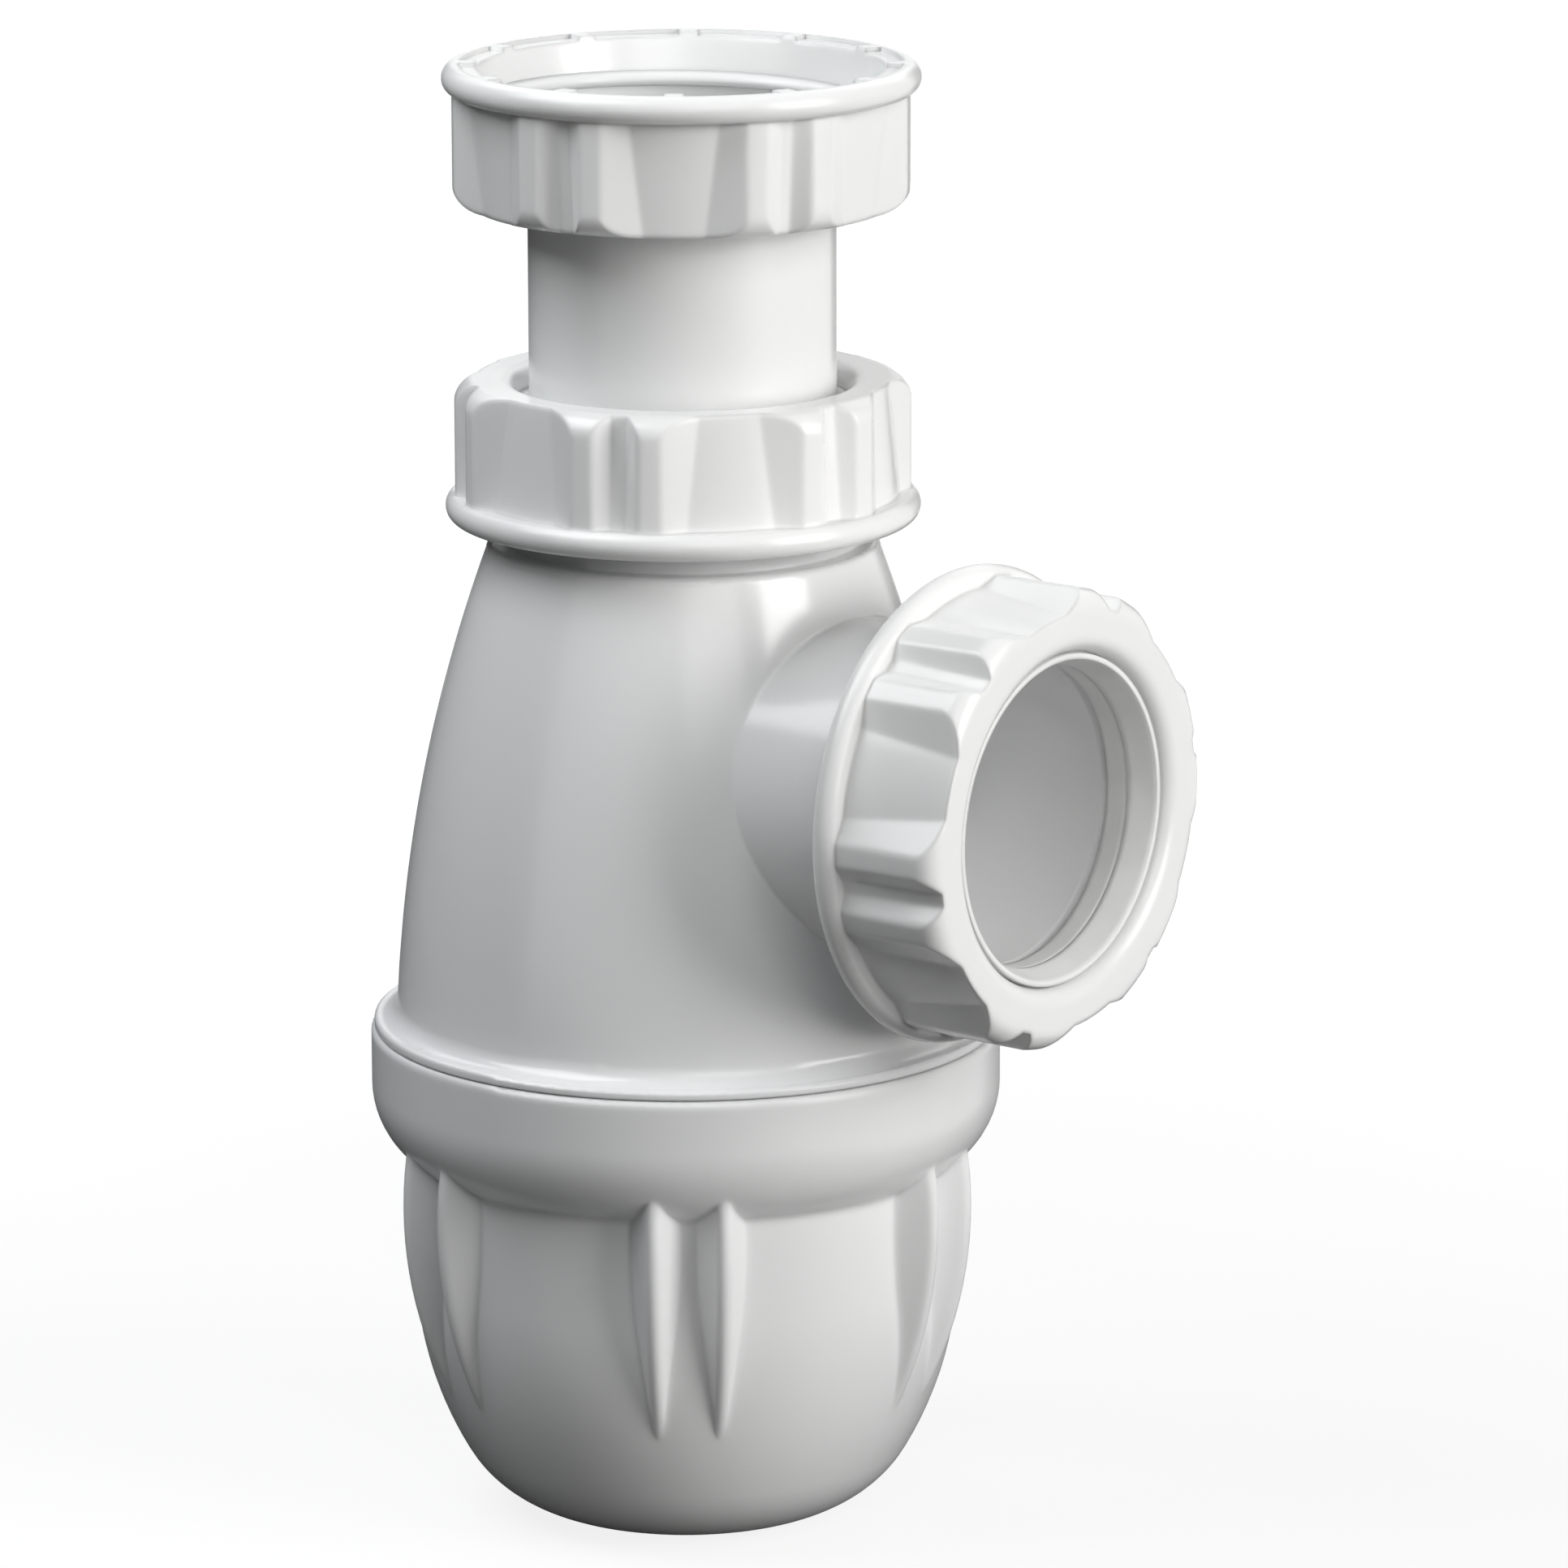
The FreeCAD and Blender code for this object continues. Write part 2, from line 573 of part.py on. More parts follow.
def make_flat_ring(doc, label, inner, outer, height, edge):
    """A flat ring that lies on its own base, its hole chamfered at the top."""
    body = make_body(doc, label)
    corners = [
        Corner(inner, 0),
        Corner(outer, 0),
        Corner(outer, height),
    ]
    if edge is None:
        corners.append(Corner(inner, height))
    else:
        corners.append(Corner(inner + edge, height))
        corners.append(Corner(inner, height - edge))
    spin(body, "Revolution", label + "_turned", draw(body, label + "_section", "XZ_Plane", corners))
    return body


def make_outlet_ring(doc, s):
    """Slip ring whose collar stands in the nut's hole and leads the pipe in."""
    body = make_body(doc, "outlet_slip_ring")
    inner = s["pipe_bore_r"]
    collar_r = s["nut_hole_r"] - s["ring_collar_gap"]
    top = s["ring_height"] + s["ring_collar_height"]
    outline = draw(body, "outlet_slip_ring_section", "XZ_Plane", [
        Corner(inner, 0),
        Corner(s["loose_r"], 0),
        Corner(s["loose_r"], s["ring_height"]),
        Corner(collar_r, s["ring_height"]),
        Corner(collar_r, top),
        Corner(inner + s["ring_lead_wide"], top),
        Corner(inner, top - s["ring_lead_depth"]),
    ])
    spin(body, "Revolution", "outlet_slip_ring_turned", outline)
    return body


def make_cone_seal(doc, s, label, inner, mouth_r, bore_r):
    """A soft seal: a flat head on the neck's end and a cone in its mouth."""
    body = make_body(doc, label)
    gap = s["seal_clearance"]
    outline = draw(body, label + "_section", "XZ_Plane", [
        Corner(inner, -s["mouth_depth"] + s["seal_head"]),
        Corner(bore_r, -s["mouth_depth"] + s["seal_head"]),
        Corner(mouth_r - gap - gap, 0),
        Corner(s["loose_r"], 0),
        Corner(s["loose_r"], s["seal_head"]),
        Corner(inner, s["seal_head"]),
    ])
    spin(body, "Revolution", label + "_turned", outline)
    return body


def make_rings(doc, s):
    along_outlet = Rotation(Vector(1, 1, 1), 120)
    washer = make_flat_ring(doc, "inlet_washer", s["tube_r"] - s["tube_wall"] + s["washer_inset"],
                            s["relief_r"] - s["washer_fit"], s["washer_height"], None)
    place(washer, s["nil"], s["inlet_seat_z"] + s["tube_flange_height"], None)
    collar_ring = make_flat_ring(doc, "collar_slip_ring", s["neck_bore_r"], s["loose_r"],
                                 s["ring_height"], s["ring_edge"])
    place(collar_ring, s["nil"], s["neck_z"] + s["seal_head"], None)
    place(make_outlet_ring(doc, s), s["outlet_reach"] + s["seal_head"], s["outlet_z"], None,
          along_outlet)
    collar_seal = make_cone_seal(doc, s, "collar_seal", s["tube_r"] + s["seal_clearance"],
                                 s["mouth_r"], s["neck_bore_r"])
    place(collar_seal, s["nil"], s["neck_z"], None)
    outlet_seal = make_cone_seal(doc, s, "outlet_seal", s["pipe_bore_r"], s["branch_mouth_r"],
                                 s["branch_bore_r"])
    place(outlet_seal, s["outlet_reach"], s["outlet_z"], None, along_outlet)
    cup_seal = make_flat_ring(doc, "cup_seal", s["cup_bore_r"] + s["cup_seal_inset"],
                              s["ledge_r"] - s["seal_clearance"], s["cup_seal_height"], None)
    place(cup_seal, s["nil"], s["ledge_z"], None)


# Trap body

def make_trap_body(doc, s):
    """One moulding: threaded neck, ogive shell, outlet branch, seam flange and threaded skirt."""
    body = make_body(doc, "trap_body")
    nil = s["nil"]
    edge_z = s["shoulder_z"] - s["shoulder_round"]
    edge_r = shell_r_at(s, edge_z, nil)
    thread_start = s["outlet_reach"] - s["branch_thread"]
    flange_top_r = shell_r_at(s, s["flange_top_z"], nil)
    edge_top_z = s["flange_z"] + s["flange_edge"]
    hollow_start_r = s["flange_r"] - s["flange_round"] - s["flange_land"]
    hollow_wide = hollow_start_r - flange_top_r
    hollow_tall = s["flange_height"] - s["flange_edge"]
    hollow_r = (hollow_wide * hollow_wide + hollow_tall * hollow_tall) / (hollow_tall * 2)
    outline = draw(body, "shell_outside", "XZ_Plane", [
        Corner(0, s["skirt_z"]),
        Corner(s["skirt_r"], s["skirt_z"]),
        Corner(s["skirt_r"], s["flange_z"]),
        Corner(s["flange_r"], s["flange_z"]),
        Corner(s["flange_r"], edge_top_z - s["flange_round"]),
        Corner(s["flange_r"] - s["flange_round"], edge_top_z, s["flange_round"], "left"),
        Corner(hollow_start_r, edge_top_z),
        Corner(flange_top_r, s["flange_top_z"], hollow_r, "right"),
        Corner(edge_r, edge_z, s["shell_curve_r"], "left"),
        Corner(edge_r - s["shoulder_round"], s["shoulder_z"], s["shoulder_round"], "left"),
        Corner(s["thread_root_r"], s["shoulder_z"]),
        Corner(s["thread_root_r"], s["neck_z"]),
        Corner(0, s["neck_z"]),
    ])
    spin(body, "Revolution", "shell_turned", outline)
    branch = draw(body, "branch_outside", "XZ_Plane", [
        Corner(0, 0),
        Corner(s["outlet_reach"], 0),
        Corner(s["outlet_reach"], s["thread_root_r"]),
        Corner(thread_start, s["thread_root_r"]),
        Corner(thread_start, s["branch_r"]),
        Corner(0, s["branch_r"]),
    ])
    lift(branch, "y", s["outlet_z"])
    spin(body, "Revolution", "branch_turned", branch, "H_Axis")
    doc.recompute()
    round_edges(doc, body, "branch_blended", s["branch_blend"],
                round_branch(s["branch_r"], s["outlet_z"], s["branch_wall"] / 2))
    wall = s["shell_wall"]
    chamber_r = shell_r_at(s, s["flange_top_z"], wall)
    chamber = draw(body, "chamber_section", "XZ_Plane", [
        Corner(0, s["skirt_z"]),
        Corner(chamber_r, s["skirt_z"]),
        Corner(chamber_r, s["flange_top_z"]),
        Corner(shell_r_at(s, s["roof_z"], wall), s["roof_z"],
               s["shell_curve_r"] - wall, "left"),
        Corner(s["spigot_r"], s["roof_z"]),
        Corner(s["spigot_r"], s["roof_z"] - s["spigot_length"]),
        Corner(s["neck_bore_r"], s["roof_z"] - s["spigot_length"]),
        Corner(s["neck_bore_r"], s["neck_z"] - s["mouth_depth"]),
        Corner(s["mouth_r"], s["neck_z"]),
        Corner(0, s["neck_z"]),
    ])
    spin(body, "Groove", "chamber", chamber)
    chamber_at_outlet = shell_r_at(s, s["outlet_z"], wall)
    bore_r = s["branch_bore_r"]
    stop_r = bore_r - s["stop_depth"]
    stop_x = chamber_at_outlet + s["stop_width"]
    bore_start = other_leg(chamber_at_outlet, bore_r) - wall
    bore = draw(body, "branch_bore_section", "XZ_Plane", [
        Corner(bore_start, 0),
        Corner(s["outlet_reach"], 0),
        Corner(s["outlet_reach"], s["branch_mouth_r"]),
        Corner(s["outlet_reach"] - s["mouth_depth"], bore_r),
        Corner(stop_x, bore_r),
        Corner(stop_x, stop_r),
        Corner(bore_start, stop_r),
    ])
    lift(bore, "y", s["outlet_z"])
    spin(body, "Groove", "branch_bore", bore, "H_Axis")
    doc.recompute()
    return body


# Cup

def add_rib(doc, body, s, name, side):
    """One rib: a nosed section swung down the crest's curve in its own upright plane."""
    hub_r = s["cup_r"] + s["rib_proud"] - s["rib_curve_r"]
    nose = s["rib_nose_r"]
    flank_y = nose * cosine(s["rib_slope"])
    flank_x = s["rib_curve_r"] - nose + nose * sine(s["rib_slope"])
    root_x = s["rib_curve_r"] - s["rib_root"]
    root_y = flank_y + (flank_x - root_x) * tangent(s["rib_slope"])
    sketch = draw(body, name + "_section", "XY_Plane", [
        Corner(root_x, -root_y),
        Corner(flank_x, -flank_y),
        Corner(flank_x, flank_y, nose, "left"),
        Corner(root_x, root_y),
    ])
    angle = s["rib_pairs_turn"].value + side * s["rib_offset"].value
    swing = Rotation(Vector(0, 0, 1), angle)
    hub = swing.multVec(Vector(hub_r.value, 0, s["rib_crest_z"].value))
    tilt = Rotation(Vector(0, 1, 0), -s["rib_above"].value)
    sketch.AttachmentOffset = Placement(hub, swing * tilt)
    rib = spin(body, "Revolution", name, sketch, "V_Axis", s["rib_sweep"])
    doc.recompute()
    return rib


def make_cup(doc, s):
    """Screwed cup: rounded foot, rim band over the thread and six pairs of grip ribs."""
    body = make_body(doc, "cup")
    side_slope, foot_slope = cosine(s["cup_turn"]), sine(s["cup_turn"])
    meet_r = s["cup_r"] - s["cup_side_r"] + s["cup_side_r"] * side_slope
    meet_z = s["cup_foot_r"] - s["cup_foot_r"] * foot_slope
    base_r = meet_r - s["cup_foot_r"] * side_slope
    side_z = meet_z + s["cup_side_r"] * foot_slope
    hub_r = s["rim_r"] - s["rim_curve_r"]
    hub_z = s["cup_height"] - s["rim_band"]
    under_z = hub_z - other_leg(s["rim_curve_r"], s["cup_r"] - hub_r)
    outline = draw(body, "cup_outside", "XZ_Plane", [
        Corner(0, 0),
        Corner(base_r, 0),
        Corner(meet_r, meet_z, s["cup_foot_r"], "left"),
        Corner(s["cup_r"], side_z, s["cup_side_r"], "left"),
        Corner(s["cup_r"], under_z),
        Corner(s["rim_r"], hub_z, s["rim_curve_r"], "left"),
        Corner(s["rim_r"], s["cup_height"] - s["rim_round"]),
        Corner(s["rim_r"] - s["rim_round"], s["cup_height"], s["rim_round"], "left"),
        Corner(0, s["cup_height"]),
    ])
    spin(body, "Revolution", "cup_turned", outline)
    doc.recompute()
    round_edges(doc, body, "rim_blended", s["rim_blend"], on_circle(s["cup_r"], under_z))
    ribs = [add_rib(doc, body, s, "rib_a", -1), add_rib(doc, body, s, "rib_b", 1)]
    repeat_round(doc, body, "ribs", ribs, s["rib_pairs"])
    wall = s["cup_wall"]
    foot_r = s["cup_foot_r"] - wall
    inside = draw(body, "cup_inside", "XZ_Plane", [
        Corner(0, wall),
        Corner(base_r, wall),
        Corner(base_r + foot_r * side_slope, s["cup_foot_r"] - foot_r * foot_slope,
               foot_r, "left"),
        Corner(s["cup_bore_r"], side_z, s["cup_side_r"] - wall, "left"),
        Corner(s["cup_bore_r"], s["ledge_z"]),
        Corner(s["ledge_r"], s["ledge_z"]),
        Corner(s["cup_thread_r"], s["ledge_z"] + s["ledge_rise"]),
        Corner(s["cup_thread_r"], s["cup_height"]),
        Corner(0, s["cup_height"]),
    ])
    spin(body, "Groove", "cup_hollow", inside)
    doc.recompute()
    return body


# Building and writing

def check(doc):
    """Stops on a failed object or on a shape that is not one sound solid."""
    doc.recompute()
    for item in doc.Objects:
        if "Invalid" in item.State or "Error" in item.State:
            raise RuntimeError("%s failed: %s" % (item.Name, item.State))
    for body in doc.findObjects("PartDesign::Body"):
        shape = body.Shape
        if shape.isNull() or not shape.isValid() or len(shape.Solids) != 1:
            raise RuntimeError("%s is not one sound solid" % body.Label)


def write(doc):
    os.makedirs("parts", exist_ok=True)
    for body in doc.findObjects("PartDesign::Body"):
        body.Shape.exportStep(os.path.join("parts", body.Label + ".step"))
        print("%-18s %9.1f mm3" % (body.Label, body.Shape.Volume))


def main():
    doc = FreeCAD.newDocument("basin_trap")
    s = make_sheet(doc)
    work_out(s)
    make_nuts(doc, s)
    make_inlet_tube(doc, s)
    make_dip_tube(doc, s)
    make_rings(doc, s)
    make_trap_body(doc, s)
    make_cup(doc, s)
    check(doc)
    write(doc)


main()
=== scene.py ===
import json
import math

import bmesh
import bpy
from mathutils import Matrix, Quaternion, Vector


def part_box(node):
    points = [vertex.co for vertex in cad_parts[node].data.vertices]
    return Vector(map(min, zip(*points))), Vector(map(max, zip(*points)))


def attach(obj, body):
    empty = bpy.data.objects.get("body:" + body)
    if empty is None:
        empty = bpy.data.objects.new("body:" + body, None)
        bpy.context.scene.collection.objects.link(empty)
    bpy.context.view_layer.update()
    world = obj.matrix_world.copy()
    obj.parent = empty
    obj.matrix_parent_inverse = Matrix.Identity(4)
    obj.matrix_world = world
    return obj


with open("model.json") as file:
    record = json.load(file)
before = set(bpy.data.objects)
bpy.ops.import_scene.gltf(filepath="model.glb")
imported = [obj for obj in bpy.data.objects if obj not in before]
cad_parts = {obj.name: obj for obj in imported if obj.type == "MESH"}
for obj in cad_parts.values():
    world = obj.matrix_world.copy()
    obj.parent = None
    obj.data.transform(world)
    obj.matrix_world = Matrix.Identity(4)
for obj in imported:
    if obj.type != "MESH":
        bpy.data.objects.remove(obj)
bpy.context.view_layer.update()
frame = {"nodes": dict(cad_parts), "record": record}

# Metres throughout. The trap stands on the floor at the origin, and its outlet points along +X.
MM = 0.001

# The view of the photograph
VIEW_TURN = math.radians(38.5)
VIEW_RISE = math.radians(13.43)
VIEW_DISTANCE = 957 * MM
VIEW_REACH = 20
LENS = 200.4
SENSOR = 36.0
VIEW_ROLL = math.radians(0.114)
AIM = Vector((0, 0, 79.6 * MM))
PHOTO_SIDE = 1932
AIM_PIXEL = (843.7, 986.6)

# Finishes: what unevenness a moulding has, and how large it is
CLOUD_SIZE = 45 * MM
PATCH_SIZE = 30 * MM
PEEL_SIZE = 2.2 * MM
PEEL_DEPTH = 0.003 * MM
DRAW_SIZE = 1.2 * MM
RING_TONE_SIZE = 6 * MM
RING_EDGE = 0.9 * MM
MARK_SIZE = 0.35 * MM
MARK_DEPTH = 0.004 * MM
BLOOM_SIZE = 3 * MM
GRAIN_SIZE = 0.25 * MM
GRAIN_DEPTH = 0.012 * MM
PLASTIC_IOR = 1.49
GLOW_SHARE = 0.2
GLOW_DEPTH = 2 * MM
EDGE_SAMPLES = 6

# Threads: the fine one is G 1 1/4, the coarse one is the cup's
FINE_PITCH = 2.309 * MM
FINE_DEPTH = 1.45 * MM
FINE_BASE = 1.8 * MM
FINE_TIP = 0.6 * MM
COARSE_PITCH = 3.0 * MM
COARSE_DEPTH = 0.95 * MM
COARSE_BASE = 1.9 * MM
COARSE_TIP = 0.7 * MM
THREAD_FADE = 0.22
THREAD_SINK = 0.06 * MM
THREAD_STEPS = 96
THREAD_CORNERS = 12
HALF_PITCH = 0.5

# How a round prism is pressed into a ridge: how soon its corners reach crest and flank
CREST_REACH = 1.4
FLANK_REACH = 1.3
ROOT_BELOW = -0.1
END_WIDTH = 0.3

# Where the threads start and end
CREST_GAP = 0.2 * MM
INLET_RUN_OUT = 0.8 * MM
NUT_RUN_OUT = 0.4 * MM
NECK_START = 0.2 * MM
BRANCH_START = 0.9 * MM
PLAIN_END = 0.4 * MM
RIM_WALL = 2.35 * MM
SKIRT_GAP = 1.2 * MM
SKIRT_START = 0.3 * MM
SKIRT_END = 0.8 * MM
CUP_END = 1.0 * MM

# Lamps: side length and distance, then name, turn, rise, watts, colour and kind
FAR_LAMP = (0.5, 1.0)
NEAR_LAMP = (0.3, 0.45)
WARM_LIGHT = (1.0, 0.995, 0.985)
COOL_LIGHT = (0.96, 0.985, 1.0)
LAMPS = (
    ("side", 60, 12, 5.7, WARM_LIGHT, FAR_LAMP),
    ("key", 60, 30, 2.7, WARM_LIGHT, FAR_LAMP),
    ("front", 15, 30, 1.9, WARM_LIGHT, FAR_LAMP),
    ("fill", -75, 55, 1.4, COOL_LIGHT, NEAR_LAMP),
    ("back_left", -155, 50, 1.6, COOL_LIGHT, FAR_LAMP),
    ("back_right", 155, 30, 0.8, WARM_LIGHT, FAR_LAMP),
)

# Standing cards: name, turn, distance, half width and height
STANDING_CARDS = (
    ("side_card", -100, 0.42, 0.30, 0.55),
    ("left_edge_card", -152, 0.50, 0.16, 0.32),
    ("right_edge_card", 155, 0.50, 0.09, 0.32),
)
# The card that lies on the floor: its turn, nearest and farthest edge, half width and height
LYING_CARD = (-100, -0.12, 0.40, 0.45, 1 * MM)

# The floor, what floor and cards are made of, and the world's light on the trap and the camera
FLOOR_HALF = 2.5
FLOOR_HEIGHT = -0.1 * MM
PAPER = {"grain": 0.4, "greys": (0.14, 0.16), "roughness": 0.9}
CLOTH = {"grain": 2 * MM, "greys": (0.015, 0.03), "roughness": 0.95}
FLOOR_GLOW = (0.85, 1.0)
FLOOR_GLOW_REACH = (0.05, 0.4)
WORLD_LIGHT = (0.01, 1.0)


# Shader helpers

def new_material(name):
    """A material whose tree holds only its output, its Principled shader and object coordinates."""
    material = bpy.data.materials.new(name)
    material.use_nodes = True
    tree = material.node_tree
    shader = tree.nodes["Principled BSDF"]
    place = tree.nodes.new("ShaderNodeTexCoord").outputs["Object"]
    return material, tree, shader, place


def noise(tree, place, size, detail=2.0, stretch=(1, 1, 1)):
    """Noise whose blobs are about so large, in metres, stretched along the axes."""
    mapping = tree.nodes.new("ShaderNodeMapping")
    mapping.inputs["Scale"].default_value = [1 / (size * s) for s in stretch]
    tree.links.new(place, mapping.inputs["Vector"])
    texture = tree.nodes.new("ShaderNodeTexNoise")
    texture.inputs["Scale"].default_value = 1.0
    texture.inputs["Detail"].default_value = detail
    tree.links.new(mapping.outputs["Vector"], texture.inputs["Vector"])
    return texture.outputs["Fac"]


def spread(tree, source, low, high, start=0.2, end=0.8):
    """The source between start and end, spread from low to high."""
    node = tree.nodes.new("ShaderNodeMapRange")
    node.inputs["From Min"].default_value = start
    node.inputs["From Max"].default_value = end
    node.inputs["To Min"].default_value = low
    node.inputs["To Max"].default_value = high
    node.interpolation_type = "SMOOTHERSTEP"
    tree.links.new(source, node.inputs["Value"])
    return node.outputs["Result"]


def blend_colours(tree, source, first, second):
    """From the first colour to the second as the source rises."""
    node = tree.nodes.new("ShaderNodeMix")
    node.data_type = "RGBA"
    tree.links.new(spread(tree, source, 0, 1), node.inputs["Factor"])
    node.inputs["A"].default_value = (*first, 1)
    node.inputs["B"].default_value = (*second, 1)
    return node.outputs["Result"]


def bump(tree, source, depth, under=None):
    """A bump of a depth in metres, on top of another bump where one is given."""
    node = tree.nodes.new("ShaderNodeBump")
    node.inputs["Strength"].default_value = 1.0
    node.inputs["Distance"].default_value = depth
    tree.links.new(source, node.inputs["Height"])
    if under is not None:
        tree.links.new(under, node.inputs["Normal"])
    return node.outputs["Normal"]


def softened(tree, radius):
    """Normals that round an edge off by a radius, as a mould's edges are."""
    node = tree.nodes.new("ShaderNodeBevel")
    node.samples = EDGE_SAMPLES
    node.inputs["Radius"].default_value = radius
    return node.outputs["Normal"]


# Finishes

def moulded_white(name, bright, dull, rough, edge, drawn=None):
    """Glossy injection-moulded polypropylene: faint clouding, soft edges and a trace of peel.

    A drawn piece has streaks too, stretched along its axes as given."""
    material, tree, shader, place = new_material(name)
    clouds = noise(tree, place, CLOUD_SIZE, 1)
    tree.links.new(blend_colours(tree, clouds, dull, bright), shader.inputs["Base Color"])
    patches = noise(tree, place, PATCH_SIZE, 1)
    tree.links.new(spread(tree, patches, *rough), shader.inputs["Roughness"])
    peel = bump(tree, noise(tree, place, PEEL_SIZE, 1), PEEL_DEPTH, softened(tree, edge))
    if drawn is not None:
        peel = bump(tree, noise(tree, place, DRAW_SIZE, 1, drawn), PEEL_DEPTH, peel)
    tree.links.new(peel, shader.inputs["Normal"])
    shader.inputs["IOR"].default_value = PLASTIC_IOR
    shader.inputs["Subsurface Weight"].default_value = GLOW_SHARE
    shader.inputs["Subsurface Radius"].default_value = (1.0, 0.95, 0.9)
    shader.inputs["Subsurface Scale"].default_value = GLOW_DEPTH
    return material


def satin_ring():
    """Slip rings: a harder white plastic, satin from fine marks."""
    material, tree, shader, place = new_material("satin_ring")
    tone = noise(tree, place, RING_TONE_SIZE, 3)
    tree.links.new(blend_colours(tree, tone, (0.80, 0.81, 0.80), (0.87, 0.87, 0.86)),
                   shader.inputs["Base Color"])
    marks = noise(tree, place, MARK_SIZE, 2)
    tree.links.new(spread(tree, marks, 0.38, 0.5), shader.inputs["Roughness"])
    marked = bump(tree, marks, MARK_DEPTH, softened(tree, RING_EDGE))
    tree.links.new(marked, shader.inputs["Normal"])
    return material


def seal_rubber():
    """Pale grey rubber: matt, with a fine bloom on it."""
    material, tree, shader, place = new_material("seal_rubber")
    bloom = noise(tree, place, BLOOM_SIZE, 5)
    tree.links.new(blend_colours(tree, bloom, (0.50, 0.51, 0.52), (0.60, 0.61, 0.61)),
                   shader.inputs["Base Color"])
    grain = noise(tree, place, GRAIN_SIZE, 3)
    tree.links.new(spread(tree, bloom, 0.55, 0.75), shader.inputs["Roughness"])
    tree.links.new(bump(tree, grain, GRAIN_DEPTH), shader.inputs["Normal"])
    return material


FINISH = {
    "nut": moulded_white("nut_white", (0.835, 0.835, 0.83), (0.815, 0.82, 0.82),
                         rough=(0.2, 0.26), edge=0.9 * MM),
    "body": moulded_white("body_white", (0.84, 0.84, 0.84), (0.82, 0.825, 0.83),
                          rough=(0.16, 0.22), edge=0.4 * MM),
    "cup": moulded_white("cup_white", (0.825, 0.825, 0.825), (0.805, 0.81, 0.815),
                         rough=(0.22, 0.27), edge=1.2 * MM),
    "tube": moulded_white("tube_white", (0.825, 0.825, 0.82), (0.805, 0.81, 0.815),
                          rough=(0.21, 0.26), edge=0.3 * MM, drawn=(1, 1, 30)),
    "ring": satin_ring(),
    "seal": seal_rubber(),
}

NODE_FINISH = {
    "inlet_nut": "nut",
    "collar_nut": "nut",
    "outlet_nut": "nut",
    "trap_body": "body",
    "cup": "cup",
    "inlet_tube": "tube",
    "dip_tube": "tube",
    "collar_slip_ring": "ring",
    "outlet_slip_ring": "ring",
    "inlet_washer": "seal",
    "collar_seal": "seal",
    # A sliver of this seal may show in the outlet, so it is as pale as the ring there
    "outlet_seal": "ring",
    "cup_seal": "seal",
}


def finish_nodes():
    """Gives every CAD node its own finish."""
    for node, finish in NODE_FINISH.items():
        for slot in frame["nodes"][node].material_slots:
            slot.material = FINISH[finish]


# Threads

class Formula:
    """Adds arithmetic nodes to a geometry or shader tree, one line for each."""

    def __init__(self, tree):
        self.tree = tree

    def do(self, operation, *terms):
        node = self.tree.nodes.new("ShaderNodeMath")
        node.operation = operation
        for socket, term in zip(node.inputs, terms):
            if isinstance(term, bpy.types.NodeSocket):
                self.tree.links.new(term, socket)
            else:
                socket.default_value = term
        return node.outputs["Value"]

    def times(self, first, second):
        return self.do("MULTIPLY", first, second)

    def plus(self, first, second):
        return self.do("ADD", first, second)

    def less(self, first, second):
        return self.do("SUBTRACT", first, second)

    def between(self, source, low, high):
        return self.do("MINIMUM", self.do("MAXIMUM", source, low), high)


